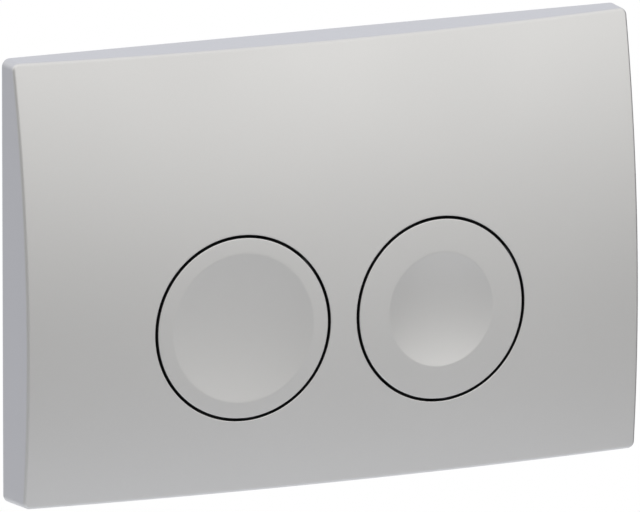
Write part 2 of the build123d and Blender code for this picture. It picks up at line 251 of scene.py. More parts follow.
def face_normal(x, z):
    """Unit normal as (x, z, depth): minus the slopes of the depth, and one, over their length."""
    step = 0.01
    slope_x = (face_depth(x + step, z) - face_depth(x - step, z)) / (2 * step)
    slope_z = (face_depth(x, z + step) - face_depth(x, z - step)) / (2 * step)
    normal = np.stack([-slope_x, -slope_z, np.ones_like(slope_x)], -1)
    return normal / np.linalg.norm(normal, axis=-1, keepdims=True)


places = [(0, FACE_PEAK_Z), (0, PLATE_HEIGHT / 2), (PLATE_WIDTH / 2, FACE_PEAK_Z)]
print("Depths of the face at its highest point, at the top and at an end:",
      [round(float(face_depth(x, z)), 2) for x, z in places])

# %% [markdown]
# ## Depths behind a button
#
# Behind each button the pieces lie on one axis: the seat in the button, the spring, the bridge with
# its sleeve, the clip on the stem and the push rod. Their depths are counted back from the face at
# the button's centre, to the nearest 0.005 mm, by the same steps as in the CAD model.

# %% Depths behind a button
BUTTON_X, BUTTON_Z = 39.5, -19.9
# The button's travel, the play where pieces seat, and what is left before a stop
TRAVEL, PLAY, STOP = 6.0, 0.1, 0.5
SEAT_DROP, SPRING_ROOM, BRIDGE_THICKNESS, SLEEVE_TAIL = 4.8, 11.5, 3.0, 3.0
CLIP_THICKNESS, STEM_TAIL, ROD_SEAT, FLANGE_THICKNESS = 0.8, 1.2, 1.2, 1.5
NEAREST = 0.005
SEAT_DEPTH = round(float(face_depth(BUTTON_X, BUTTON_Z)) / NEAREST) * NEAREST - SEAT_DROP
BRIDGE_FRONT = SEAT_DEPTH - SPRING_ROOM
SKIRT_REAR = BRIDGE_FRONT + TRAVEL + STOP
FLANGE_FRONT = SKIRT_REAR + FLANGE_THICKNESS
CLIP_FRONT = BRIDGE_FRONT - BRIDGE_THICKNESS - SLEEVE_TAIL - PLAY
CLIP_REAR = CLIP_FRONT - CLIP_THICKNESS
GROOVE_REAR, GROOVE_FRONT = CLIP_REAR - PLAY, CLIP_FRONT + PLAY / 2
STEM_END = CLIP_REAR - PLAY - STEM_TAIL
ROD_FRONT = STEM_END - PLAY - ROD_SEAT
print("Depths of the seat, the bridge, the stem's end and the rod's front:",
      [round(depth, 3) for depth in (SEAT_DEPTH, BRIDGE_FRONT, STEM_END, ROD_FRONT)])

# %% [markdown]
# ## From grids of points to a piece
#
# Each new piece is one or more grids of points in (x, z, depth), in millimetres. This cell turns
# them into one mesh: neighbours on a grid make a quad, points that coincide are merged, so seams and
# poles close, and the normals are turned outwards. The Weighted Normal modifier lets the large faces
# keep their own shading next to the narrow ones of a rounding.

# %% From grids of points to a piece


def quads_of(rows, columns, first, wrap_rows=False, wrap_columns=False):
    """Corner numbers of the quads between neighbours on a grid, also across the ends that wrap."""
    index = first + np.arange(rows * columns).reshape(rows, columns)
    if wrap_rows:
        index = np.vstack([index, index[:1]])
    if wrap_columns:
        index = np.hstack([index, index[:, :1]])
    quads = [index[:-1, :-1], index[1:, :-1], index[1:, 1:], index[:-1, 1:]]
    return np.stack(quads, -1).reshape(-1, 4)


def finish_shading(piece, sharp_degrees=32):
    """Smooth faces, with creases kept where two of them meet at more than an angle."""
    piece.data.polygons.foreach_set("use_smooth", [True] * len(piece.data.polygons))
    piece.data.set_sharp_from_angle(angle=np.radians(sharp_degrees))
    weigh = piece.modifiers.new("weighted normals", "WEIGHTED_NORMAL")
    weigh.keep_sharp = True


def make_piece(name, grids, materials, body, stands_for):
    """Piece from grids: a list of (points, wraps by rows, wraps by columns), points in (x, z, depth).
    A grid may also give the column from which its faces take the second material."""
    points, quads, coats, first = [], [], [], 0
    for grid, wrap_rows, wrap_columns, *bare_and_shade_from in grids:
        points.append(np.stack([grid[..., 0], -grid[..., 2], grid[..., 1]], -1).reshape(-1, 3) * MM)
        quads.append(quads_of(*grid.shape[:2], first, wrap_rows, wrap_columns))
        column = np.arange(len(quads[-1])) % (grid.shape[1] - (not wrap_columns))
        coats.append(column >= bare_and_shade_from[0] if bare_and_shade_from else np.zeros(len(column), bool))
        first += len(points[-1])
    mesh = bpy.data.meshes.new(name)
    mesh.from_pydata(np.vstack(points).tolist(), [], np.vstack(quads).tolist())
    for material in materials:
        mesh.materials.append(material)
    mesh.polygons.foreach_set("material_index", np.concatenate(coats).astype(int))
    work = bmesh.new()
    work.from_mesh(mesh)
    bmesh.ops.remove_doubles(work, verts=work.verts, dist=0.0005 * MM)
    bmesh.ops.recalc_face_normals(work, faces=work.faces)
    loose = sum(edge.is_boundary for edge in work.edges)
    work.to_mesh(mesh)
    work.free()
    piece = bpy.data.objects.new(name, mesh)
    bpy.context.collection.objects.link(piece)
    finish_shading(piece)
    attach(piece, body)
    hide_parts(*stands_for)
    print(f"{name}: {len(mesh.polygons)} faces, {loose} open edges")
    return piece


print("A grid of 3 by 4 points has", len(quads_of(3, 4, 0)), "quads")

# %% [markdown]
# Nearly every grid of the plate is one of three kinds: straight lines from one row of points to
# another, arcs from one direction to another, or a profile turned about an axis, with a thread cut
# into it where the real piece has one.

# %% Three kinds of grid


def stack(x, z, depth):
    """Points from three arrays, which may be of different but matching shapes."""
    return np.stack(np.broadcast_arrays(x, z, depth), -1).astype(float)


def between(start, end, steps, power=1.0):
    """Grid of points on straight lines from each start to each end, closer together near the start
    for a power above one."""
    t = np.linspace(0, 1, steps)[None, :, None] ** power
    return start[:, None, :] * (1 - t) + end[:, None, :] * t


def arc(centre, start, end, radius, steps):
    """Grid of points round each centre, from one unit direction to another: the directions are
    weighed by the sines of the angle still to go and of the angle done, over the sine of it all."""
    angle = np.arccos(np.clip((start * end).sum(-1), -1, 1))[:, None, None]
    t = np.linspace(0, 1, steps)[None, :, None]
    way = np.sin((1 - t) * angle) * start[:, None, :] + np.sin(t * angle) * end[:, None, :]
    return centre[:, None, :] + radius * way / np.sin(angle)


def turned(x, z, profile, steps, threads=()):
    """Profile of (radius, depth) turned about an axis through x and z. A thread of (pitch, cut, low,
    high) takes its cut off the radius: none on the crest, all on the root and straight flanks
    between, one pitch further for each turn, and fading out over a pitch at both ends. The root's
    half width and the flank are shares of the pitch."""
    root, flank = 0.1, 0.3
    turn = np.linspace(0, 2 * np.pi, steps, endpoint=False)[:, None]
    radius, depth = np.array(profile).T[:, None, :]
    for pitch, cut, low, high in threads:
        way = (depth / pitch + turn / (2 * np.pi)) % 1
        groove = np.clip((root + flank - np.abs(way - 0.5)) / flank, 0, 1)
        fade = np.clip((depth - low) / pitch, 0, 1) * np.clip((high - depth) / pitch, 0, 1)
        radius = radius - cut * groove * fade * (radius > cut)
    return stack(x + radius * np.cos(turn), z + radius * np.sin(turn), depth)


print("Two points turned in 40 steps make a grid of", turned(0, 0, [(1, 0), (1, 2)], 40).shape[:2])

# %% [markdown]
# ## The cover
#
# The cover is a moulding 2.4 mm thick. Its sides lean in, by 1.75 degrees at the ends and 2.45 at
# the top and bottom, so that it leaves the mould. A rounding of 1.2 mm joins them to the face. Each
# half is worked out from its hole: rays run from the rounded lip of the hole to the border, and each
# ray carries on round the border, along the inside and back down the guide collar. The other half
# is the same with x turned round, and the two meet on the middle line.

# %% The cover's border
PLATE_WALL, EDGE_RADIUS, CORNER_RADIUS, INNER_CORNER = 2.4, 1.2, 3.0, 1.2
SIDE_SLOPE, END_SLOPE = np.tan(np.radians([1.75, 2.45]))
# Where the searches below start, and how often they go round
FIRST_DEPTH, REPEATS = 20.0, 30


def border_layout(side_steps, corner_steps):
    """Right half of the border from the top middle to the bottom middle, as three arrays: how far
    along each side the rounding's centre is, from -1 to 1 in x and in z, and the normal's angle."""

    def run(first, last, count):
        return np.linspace(first, last, count, endpoint=False)

    top, end = side_steps
    along_x = np.r_[run(0, 1, top), np.ones(2 * corner_steps + end), 1 - run(0, 1, top), 0]
    along_z = np.r_[np.ones(top + corner_steps), run(1, -1, end), -np.ones(corner_steps + top + 1)]
    quarter = np.pi / 2
    angle = np.r_[np.full(top, quarter), run(quarter, 0, corner_steps), np.zeros(end),
                  run(0, -quarter, corner_steps), np.full(top + 1, -quarter)]
    return along_x, along_z, angle


def wall_point(layout, depth, inset, corner):
    """Point of a drafted wall: the plate's half size less the inset and less the depth times the
    slope gives the side, and a quarter circle, whose radius shrinks forward too, joins two sides."""
    along_x, along_z, angle = layout
    corner = corner - depth * SIDE_SLOPE
    half_width = PLATE_WIDTH / 2 - inset - depth * SIDE_SLOPE - corner
    half_height = PLATE_HEIGHT / 2 - inset - depth * END_SLOPE - corner
    x = along_x * half_width + corner * np.cos(angle)
    z = along_z * half_height + corner * np.sin(angle)
    return stack(x, z, depth)


def wall_normal(layout):
    """Unit normal of the drafted wall: outwards at the border's angle, and tipped forward so that it
    is square to the line on which the wall leans in."""
    along_x, along_z, angle = layout
    tip = SIDE_SLOPE + along_z * (END_SLOPE - SIDE_SLOPE) * np.sin(angle)
    normal = np.stack([np.cos(angle), np.sin(angle), tip], -1)
    return normal / np.linalg.norm(normal, axis=-1, keepdims=True)


def edge_ball(layout):
    """Centre of a ball of the rounding's radius that touches the wall and the face. The wall contact
    is moved until the centre lies exactly one radius behind the face."""
    normal = wall_normal(layout)
    contact = np.full(len(layout[0]), FIRST_DEPTH)
    for _ in range(REPEATS):
        centre = wall_point(layout, contact, 0, CORNER_RADIUS) - EDGE_RADIUS * normal
        contact = contact + face_depth(centre[:, 0], centre[:, 1], EDGE_RADIUS) - centre[:, 2]
    return wall_point(layout, contact, 0, CORNER_RADIUS) - EDGE_RADIUS * normal, normal


def inner_corner_line(layout):
    """Where the inside of the wall meets the inside of the face, found by following the wall up."""
    depth = np.full(len(layout[0]), FIRST_DEPTH)
    for _ in range(REPEATS):
        at = wall_point(layout, depth, PLATE_WALL, INNER_CORNER)
        depth = face_depth(at[:, 0], at[:, 1], PLATE_WALL)
    return wall_point(layout, depth, PLATE_WALL, INNER_CORNER)


layout = border_layout((70, 72), 12)
ball, outward = edge_ball(layout)
print("Border points in one half:", len(ball))

# %% One half of the cover
HOLE_RADIUS, LIP_RADIUS, NICK = 34.3, 0.3, 0.15
GUIDE_RADIUS, COLLAR_RADIUS, COLLAR_REAR = 35.6, 37.6, 11.5


def follow_face(grid, inset=0.0):
    """The grid's own x and z, with the depth of the face, or of the surface an inset behind it."""
    return stack(grid[..., 0], grid[..., 1], face_depth(grid[..., 0], grid[..., 1], inset))


def ring(angle, radius):
    """Plan points on a circle round the hole's centre, as x and z."""
    return BUTTON_X + radius * np.cos(angle), BUTTON_Z + radius * np.sin(angle)


def ring_on_face(angle, radius, inset):
    """The same circle, on the surface that lies an inset behind the face."""
    x, z = ring(angle, radius)
    return stack(x, z, face_depth(x, z, inset))


def ring_at(angle, radius, depth):
    """The same circle at one depth."""
    return stack(*ring(angle, radius), depth)


def half_cover():
    """Grids of the right half. The rim grid runs over the outer rounding, down the wall, across the
    rear rim and up the inside. The hole grid runs in from the border to the hole, and back. The
    lacquer ends past the rear rim, and half-way round the lip. Beyond it the faces are charcoal: the
    bare moulding, and painted shade in the gap round the button."""
    rounding = arc(ball, face_normal(ball[:, 0], ball[:, 1]), outward, EDGE_RADIUS, 11)
    inside = inner_corner_line(layout)
    rear = [wall_point(layout, depth, inset, corner) for depth, inset, corner in (
        (NICK, 0, CORNER_RADIUS), (0, NICK, CORNER_RADIUS),
        (0, PLATE_WALL - NICK, INNER_CORNER + NICK), (NICK, PLATE_WALL, INNER_CORNER))]
    wall = between(rounding[:, -1], rear[0], 4)[:, 1:]
    rim = np.concatenate([rounding, wall, between(rear[1], rear[2], 2), between(rear[3], inside, 4)],
                         axis=1)
    middle_z = np.linspace(rounding[-1, 0, 1], rounding[0, 0, 1], 130)[1:-1]
    middle = follow_face(stack(0.0, middle_z, 0.0))
    inner_z = np.linspace(inside[-1, 1], inside[0, 1], 130)[1:-1]
    border = np.vstack([rounding[:, 0], middle])
    inner_border = np.vstack([inside, follow_face(stack(0.0, inner_z, 0.0), PLATE_WALL)])
    angle = np.arctan2(border[:, 1] - BUTTON_Z, border[:, 0] - BUTTON_X)
    lip_centre = ring_on_face(angle, HOLE_RADIUS + LIP_RADIUS, LIP_RADIUS)
    inwards = stack(-np.cos(angle), -np.sin(angle), 0.0)
    lip = arc(lip_centre, face_normal(lip_centre[:, 0], lip_centre[:, 1]), inwards, LIP_RADIUS, 6)
    face = follow_face(between(lip[:, 0], border, 30, 1.6))[:, ::-1]
    hole = [ring_on_face(angle, radius, PLATE_WALL)[:, None] for radius in (HOLE_RADIUS, GUIDE_RADIUS)]
    collar = [ring_at(angle, radius, depth)[:, None] for radius, depth in (
        (GUIDE_RADIUS, COLLAR_REAR + NICK), (GUIDE_RADIUS + NICK, COLLAR_REAR),
        (COLLAR_RADIUS - NICK, COLLAR_REAR), (COLLAR_RADIUS, COLLAR_REAR + NICK))]
    collar_root = ring_on_face(angle, COLLAR_RADIUS, PLATE_WALL)
    back = follow_face(between(collar_root, inner_border, 16, 1.4), PLATE_WALL)
    # Past these columns the faces take the charcoal, which is also painted shade in the gap round the
    # button
    lacquered = rounding.shape[1] + wall.shape[1] + 1, face.shape[1] + lip.shape[1] // 2
    return rim, np.concatenate([face, lip, *hole, *collar, back], axis=1), *lacquered


rim, around_hole, rim_end, lip_end = half_cover()
mirrored = np.array([-1.0, 1.0, 1.0])
cover_grids = [(rim, False, False, rim_end), (around_hole, True, False, lip_end),
               (rim * mirrored, False, False, rim_end), (around_hole * mirrored, True, False, lip_end)]
print("Points in the cover's grids:", sum(grid[0].shape[0] * grid[0].shape[1] for grid in cover_grids))

# %% [markdown]
# Inside, the cover has ribs that follow the face, four bosses for the guides' screws and four ledges
# for the frame's latches. They are closed blocks and tubes whose front ends run a little into the
# wall, as they would in the mould.

# %% Ribs, bosses and ledges of the cover
RIB_WALL, RIB_HEIGHT, RIB_ROOT = 1.4, 3.5, 0.6
CROSS_RIB_Z, RIB_TOP, RIB_SPACING = 34.0, 73.6, 41.0
RIB_SECTION = np.array([-0.5, 0.5, 0.5, -0.5])[None, :] * RIB_WALL
RIB_BEHIND = PLATE_WALL + np.array([-RIB_ROOT, -RIB_ROOT, RIB_HEIGHT, RIB_HEIGHT])[None, :]
# How far ribs run into what they end on, and the depth at which the end walls are measured
RIB_TUCK, RIB_END_DEPTH = 0.5, 20.0
BOSS_RADIUS, BOSS_GAP, PILOT_RADIUS, PILOT_DEPTH = 4.5, 1.0, 1.55, 8.0
BOSS_REACH = COLLAR_RADIUS + BOSS_GAP + BOSS_RADIUS
LEDGE_FRONT, LEDGE_REAR, LEDGE_REACH, LEDGE_HALF = 7.0, 5.0, 1.2, 6.0
LATCH_X, BEVEL = 75.0, 0.2


def rib_along_x(x0, x1, z, steps):
    """Rib from x0 to x1: four corners of its section at each x, on the face's own curve."""
    x = np.linspace(x0, x1, steps)[:, None]
    across = z + RIB_SECTION
    return stack(x, across, face_depth(x, across, RIB_BEHIND))


def rib_along_z(x, z0, z1, steps):
    """Rib from z0 to z1, in the same way."""
    z = np.linspace(z0, z1, steps)[:, None]
    across = x + RIB_SECTION
    return stack(across, z, face_depth(across, z, RIB_BEHIND))


def capped(tube):
    """Tube of sections with both ends drawn to their middles, which closes it."""
    ends = [np.broadcast_to(tube[i].mean(0), tube[i].shape)[None] for i in (0, -1)]
    return np.concatenate([ends[0], tube, ends[1]], axis=0)


def boss(x, z, rear):
    """Round boss with the pilot hole of its screw: one profile of radius and depth, turned round."""
    front = float(face_depth(x, z, PLATE_WALL - RIB_ROOT))
    profile = [(0, rear + PILOT_DEPTH), (PILOT_RADIUS, rear + PILOT_DEPTH),
               (PILOT_RADIUS, rear + BEVEL), (PILOT_RADIUS + BEVEL, rear), (BOSS_RADIUS - BEVEL, rear),
               (BOSS_RADIUS, rear + BEVEL), (BOSS_RADIUS, front), (0, front)]
    return turned(x, z, profile, 40)


def ledge(side, x):
    """Ledge that a latch snaps behind: its front is level, its nose has a small bevel, and its root
    runs into the wall by half the wall's thickness."""
    inner = PLATE_HEIGHT / 2 - PLATE_WALL - LEDGE_FRONT * END_SLOPE - LEDGE_REACH
    root = LEDGE_REACH + PLATE_WALL / 2
    reach = np.array([root, BEVEL, 0, 0, BEVEL, root])
    depth = np.array([LEDGE_REAR, LEDGE_REAR, LEDGE_REAR + BEVEL, LEDGE_FRONT - BEVEL, LEDGE_FRONT,
                      LEDGE_FRONT])
    across = np.array([x - LEDGE_HALF, x + LEDGE_HALF])[:, None]
    return stack(across, side * (inner + reach)[None, :], depth[None, :])


for x in np.arange(-2, 3) * RIB_SPACING:
    cover_grids.append((capped(rib_along_z(x, CROSS_RIB_Z, RIB_TOP, 24)), False, True, 0))
inner_end = PLATE_WIDTH / 2 - PLATE_WALL - RIB_END_DEPTH * SIDE_SLOPE + RIB_TUCK
cover_grids.append((capped(rib_along_x(-inner_end, inner_end, CROSS_RIB_Z, 80)), False, True, 0))
for x in (-BUTTON_X, BUTTON_X):
    for z in (BUTTON_Z - BOSS_REACH, BUTTON_Z + BOSS_REACH):
        cover_grids.append((boss(x, z, BRIDGE_FRONT), True, False, 0))
for x in (-LATCH_X, LATCH_X):
    for side in (-1, 1):
        cover_grids.append((capped(ledge(side, x)), False, True, 0))
make_piece("front_cover_moulding", cover_grids, (silver, bare_abs_and_gap_shade), "housing",
           ["front_cover"])

# %% [markdown]
# ## The buttons
#
# Each button carries on the plate's dome, so its top is the same function. A dish is taken out of
# it: the left one broad and very shallow, the right one smaller and deeper. The rest is one profile
# turned about the stem: rounded edge, skirt, flange that stays behind the plate, underside, seat for
# the spring, and the stem with the groove of its clip.

# %% The buttons
BUTTON_RADIUS, BUTTON_EDGE, BUTTON_WALL = 33.3, 0.4, 2.0
SKIRT_INNER, FLANGE_RADIUS, SEAT_RADIUS = 31.7, 35.3, 12.8
STEM_RADIUS, STEM_BORE, STEM_BEVEL, GROOVE_RADIUS = 7.0, 4.2, 0.3, 6.1
FULL_DISH, PART_DISH, DISH_SOFTNESS = (27.5, 1.85), (21.2, 1.9), 0.05
# Half the band of close rings at a dish's edge, and how far inside the button's edge the rings end
DISH_BAND, TOP_END = 2.5, 0.7
RIBS, RIB_FRONT_ROOT = 6, 0.4


def bowl_drop(spread, dish):
    """How far a dish of (radius, depth) lies below the face: the depth times one less the square of
    the distance over the radius. It is negative outside the dish."""
    radius, depth = dish
    return depth * (1 - (spread / radius) ** 2)


def dished(spread, x, z, dish):
    """Depth of the face less half the sum of the dish's drop and the root of the drop squared plus
    the softness squared, so that the drop fades to nothing over a soft edge."""
    bowl = bowl_drop(spread, dish)
    return face_depth(x, z) - (bowl + np.sqrt(bowl**2 + DISH_SOFTNESS**2)) / 2


def spaced(*runs):
    """Numbers from runs of (start, end, count), joined without doubles."""
    return np.concatenate([np.linspace(start, end, count, endpoint=False) for start, end, count in runs])


def button_grids(x0, dish):
    """Polar grid of a button: rings on the top, the rounded edge, then plain rings down the skirt,
    along the underside and down the stem, and back up its bore to the middle."""
    turn = np.linspace(0, 2 * np.pi, 192, endpoint=False)
    cos, sin = np.cos(turn)[:, None], np.sin(turn)[:, None]
    near, far = dish[0] - DISH_BAND, dish[0] + DISH_BAND
    spread = spaced((0, near, 22), (near, far, 26), (far, BUTTON_RADIUS - TOP_END, 8))[None, :]
    x, z = x0 + spread * cos, BUTTON_Z + spread * sin
    top = stack(x, z, dished(spread, x, z, dish))
    reach = BUTTON_RADIUS - BUTTON_EDGE
    x, z = x0 + reach * cos[:, 0], BUTTON_Z + reach * sin[:, 0]
    centre = stack(x, z, face_depth(x, z, BUTTON_EDGE))
    outwards = stack(cos[:, 0], sin[:, 0], 0.0)
    rounding = arc(centre, face_normal(x, z), outwards, BUTTON_EDGE, 7)

    def rings(*pairs):
        return turned(x0, BUTTON_Z, pairs, len(turn))

    skirt = rings((BUTTON_RADIUS, FLANGE_FRONT + NICK), (BUTTON_RADIUS + NICK, FLANGE_FRONT),
                  (FLANGE_RADIUS - NICK, FLANGE_FRONT), (FLANGE_RADIUS, FLANGE_FRONT - NICK),
                  (FLANGE_RADIUS, SKIRT_REAR + NICK), (FLANGE_RADIUS - NICK, SKIRT_REAR),
                  (SKIRT_INNER + NICK, SKIRT_REAR), (SKIRT_INNER, SKIRT_REAR + NICK))
    spread = np.linspace(SKIRT_INNER, SEAT_RADIUS, 24)[None, :]
    x, z = x0 + spread * cos, BUTTON_Z + spread * sin
    below_dish = face_depth(x, z) - bowl_drop(spread, dish) - BUTTON_WALL
    underside = stack(x, z, np.minimum(face_depth(x, z, BUTTON_WALL), below_dish))
    stem = rings((SEAT_RADIUS, SEAT_DEPTH + NICK), (SEAT_RADIUS - NICK, SEAT_DEPTH),
                 (STEM_RADIUS, SEAT_DEPTH), (STEM_RADIUS, GROOVE_FRONT), (GROOVE_RADIUS, GROOVE_FRONT),
                 (GROOVE_RADIUS, GROOVE_REAR), (STEM_RADIUS, GROOVE_REAR),
                 (STEM_RADIUS, STEM_END + STEM_BEVEL), (STEM_RADIUS - STEM_BEVEL, STEM_END),
                 (STEM_BORE + BEVEL, STEM_END), (STEM_BORE, STEM_END + BEVEL),
                 (STEM_BORE, SEAT_DEPTH), (0, SEAT_DEPTH))
    # Past half the rounded edge the button takes the charcoal, which is also painted shade in the gap
    # round it
    lacquered = top.shape[1] + rounding.shape[1] // 2
    return [(np.concatenate([top, rounding, skirt, underside, stem], axis=1), True, False, lacquered)]


def button_ribs(x0, dish):
    """Ribs from the spring's seat to the skirt, square at the back and following the underside."""
    grids = []
    for turn in np.radians((np.arange(RIBS) + 0.5) * 360 / RIBS):
        spread = np.linspace(SEAT_RADIUS - RIB_TUCK, SKIRT_INNER + RIB_TUCK, 14)[:, None]
        x = x0 + spread * np.cos(turn) - RIB_SECTION * np.sin(turn)
        z = BUTTON_Z + spread * np.sin(turn) + RIB_SECTION * np.cos(turn)
        bowl = np.maximum(bowl_drop(spread, dish), 0)
        front = face_depth(x, z) - bowl - BUTTON_WALL + RIB_FRONT_ROOT
        depth = np.where([True, True, False, False], front, SEAT_DEPTH)
        grids.append((capped(stack(x, z, depth)), False, True, 0))
    return grids


for side, x, dish in (("full", -BUTTON_X, FULL_DISH), ("part", BUTTON_X, PART_DISH)):
    grids = button_grids(x, dish) + button_ribs(x, dish)
    make_piece(f"{side}_flush_button_cap", grids, (silver, bare_abs_and_gap_shade), f"{side}_flush_button",
               [f"{side}_flush_button"])

# %% [markdown]
# ## Springs
#
# A compression spring is a round wire on a helix. Its end turns are closed, which means that they
# lie flat against the next turn, so that it stands square on its seats. The pitch is therefore small
# at both ends and opens out between them.

# %% Springs
SPRING_RADIUS, WIRE_RADIUS, SPRING_TURNS = 11.0, 0.6, 4.5
CLOSED_TURN, EASE = 0.75, 0.04
SPRING_REAR, SPRING_FRONT = BRIDGE_FRONT + PLAY, SEAT_DEPTH - PLAY


def spring_grid(x0):
    """Wire on a helix: the angle goes round evenly, the depth waits for most of a turn at each end
    and rises smoothly between, and the wire's circle stands square to that path."""
    t = np.linspace(0, 1, 361)
    turns = t * SPRING_TURNS
    rise = np.clip((turns - CLOSED_TURN) / (SPRING_TURNS - 2 * CLOSED_TURN), 0, 1)
    rise = rise - EASE * np.sin(2 * np.pi * rise)
    low, high = SPRING_REAR + WIRE_RADIUS, SPRING_FRONT - WIRE_RADIUS
    depth = low + (high - low) * rise
    angle = 2 * np.pi * turns
    x, z = x0 + SPRING_RADIUS * np.cos(angle), BUTTON_Z + SPRING_RADIUS * np.sin(angle)
    path = stack(x, z, depth)
    along = np.gradient(path, axis=0)
    along /= np.linalg.norm(along, axis=1, keepdims=True)
    out = np.stack([np.cos(angle), np.sin(angle), np.zeros_like(angle)], -1)
    out -= (out * along).sum(1, keepdims=True) * along
    out /= np.linalg.norm(out, axis=1, keepdims=True)
    side = np.cross(along, out)
    around = np.linspace(0, 2 * np.pi, 16, endpoint=False)[None, :, None]
    return path[:, None] + WIRE_RADIUS * (np.cos(around) * out[:, None] + np.sin(around) * side[:, None])


for side, x in (("full", -BUTTON_X), ("part", BUTTON_X)):
    grids = [(capped(spring_grid(x)), False, True)]
    coil = make_piece(f"{side}_flush_spring_coil", grids, (spring_steel,), "housing",
                      [f"{side}_flush_spring"])
    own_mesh(coil)

# %% [markdown]
# ## Bolts and rods with their threads
#
# The distance bolts are moulded studs with a coarse thread behind the wall, a shoulder on which the
# frame seats, a thinner neck for the nut, and a screwdriver slot. The push rods are threaded where
# the head and its lock nut screw on, and plain behind. The CAD model has them as smooth cylinders of
# the threads' outer size, so here only the grooves are taken away.

# %% Bolts and rods
BOLT_X, BOLT_RADIUS, BOLT_REAR, BOLT_POINT = 89.0, 5.0, -38.0, 1.5
NECK_RADIUS, NECK_FRONT, SLOT_HALF, SLOT_FLOOR = 3.5, 13.0, 0.7, 11.5
ROD_RADIUS, ROD_REAR, ROD_POINT, ROD_PLAIN, ROD_BEVEL = 3.0, -46.0, 1.2, -24, 0.3
# Each thread's pitch, cut, low end and high end
BOLT_THREAD, NECK_THREAD, ROD_THREAD = (2.0, 0.55, -40, -2), (1.25, 0.4, 6.5, 14), (1.25, 0.38, -23, 4)


def straight(radius, start, end, steps):
    """Stretch of a profile at one radius, with as many points as a thread on it needs."""
    return [(radius, depth) for depth in np.linspace(start, end, steps)]


def bolt_grid(x):
    """Stud from its rear point to the floor of its slot, with a thread on the body and on the neck."""
    profile = [(0, BOLT_REAR), (BOLT_RADIUS - BOLT_POINT, BOLT_REAR),
               *straight(BOLT_RADIUS, BOLT_REAR + BOLT_POINT, -BEVEL, 218), (BOLT_RADIUS - BEVEL, 0),
               *straight(NECK_RADIUS, 0, SLOT_FLOOR, 110), (0, SLOT_FLOOR)]
    return turned(x, 0, profile, 40, [BOLT_THREAD, NECK_THREAD])


def slot_cheek(x, side):
    """Half-moon beside the slot: an arc and its chord, drawn in a little at the front."""
    half = np.arccos(SLOT_HALF / NECK_RADIUS)
    turn = np.linspace(-half, half, 24)
    outline = np.stack([NECK_RADIUS * np.cos(turn), NECK_RADIUS * np.sin(turn)], -1)
    middle = np.array([(SLOT_HALF + NECK_RADIUS) / 2, 0])
    shrink = np.array([1, 1, 0.9])[:, None, None]
    outline = middle + (outline - middle) * shrink
    depth = np.array([SLOT_FLOOR - BEVEL, NECK_FRONT - BEVEL, NECK_FRONT])[:, None]
    return capped(stack(x + side * outline[..., 0], side * outline[..., 1], depth))


def rod_grid(x):
    """Rod with a bevelled end at the back and a thread at the front."""
    profile = [(0, ROD_REAR), (ROD_RADIUS - ROD_POINT, ROD_REAR), (ROD_RADIUS, ROD_REAR + ROD_POINT),
               *straight(ROD_RADIUS, ROD_PLAIN, ROD_FRONT - ROD_BEVEL, 240),
               (ROD_RADIUS - ROD_BEVEL, ROD_FRONT), (0, ROD_FRONT)]
    return turned(x, BUTTON_Z, profile, 36, [ROD_THREAD])


for side, x in (("left", -BOLT_X), ("right", BOLT_X)):
    cheeks = [(slot_cheek(x, half), False, True) for half in (-1, 1)]
    grids = [(bolt_grid(x), True, False), *cheeks]
    make_piece(f"distance_bolt_{side}_threaded", grids, (black_nylon,), "housing",
               [f"distance_bolt_{side}"])
for side, x in (("full", -BUTTON_X), ("part", BUTTON_X)):
    make_piece(f"{side}_flush_rod_threaded", [(rod_grid(x), True, False)], (rod_acetal,),
               f"{side}_flush_rod", [f"{side}_flush_push_rod"])

# %% [markdown]
# ## Pieces whose CAD shape is already right
#
# The frame, guides, heads, nuts, clips and screws keep their CAD meshes. Those are loose triangles
# with sharp edges, so a Weld joins them and a small Bevel gives each edge the rounding that moulding
# or stamping leaves.

# %% CAD pieces and their finishes
MOULDED_EDGE, THIN_NUT_EDGE, METAL_EDGE = 0.25, 0.2, 0.08
finishes = {"bridge_screws": (zinc_plate, METAL_EDGE), "mounting_frame": (white_abs, MOULDED_EDGE),
            "distance_bolt_nuts": (black_nylon, MOULDED_EDGE)}
for side in ("full", "part"):
    finishes[f"{side}_flush_guide_bridge"] = grey_acetal, MOULDED_EDGE
    finishes[f"{side}_flush_stem_clip"] = spring_steel, METAL_EDGE
    finishes[f"{side}_flush_rod_head"] = blue_acetal, MOULDED_EDGE
    finishes[f"{side}_flush_lock_nut"] = blue_acetal, THIN_NUT_EDGE


def dress(node, material, rounding_mm):
    """Give a CAD piece its material, joined faces and rounded edges."""
    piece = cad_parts[node]
    piece.data.materials.clear()
    piece.data.materials.append(material)
    piece.data.polygons.foreach_set("use_smooth", [True] * len(piece.data.polygons))
    weld = piece.modifiers.new("weld", "WELD")
    weld.merge_threshold = 0.002 * MM
    rounding = piece.modifiers.new("rounded edges", "BEVEL")
    rounding.width = rounding_mm * MM
    rounding.segments = 2
    rounding.limit_method = "ANGLE"
    rounding.angle_limit = np.radians(35)
    rounding.harden_normals = True


for node, (material, rounding_mm) in finishes.items():
    dress(node, material, rounding_mm)
print("Dressed", len(finishes), "CAD pieces")

# %% [markdown]
# ## Light, floor and camera
#
# The plate hangs in a light tent, whose tone depends only on the direction: bright above the
# horizon, dim just below it, where a studio has its stands and its camera, and white again on
# the backdrop behind the plate. A pale floor closes it below. Rough metal shows a blurred picture of
# all that, which is what shades the dome from light at its top to grey below the middle. The camera
# looks at the backdrop, so what it sees behind the plate is the same white that the metal mirrors.

# %% The tent
BRIGHTEST = 1.7
# Elevation in degrees, and tone
TENT_TONES = [(-90, 1.0), (-28, 0.92), (-18, 0.41), (-10, 0.35), (-3, 0.85), (4, 1.42), (12, 1.53),
              (25, 1.47), (50, 1.36), (90, 1.20)]
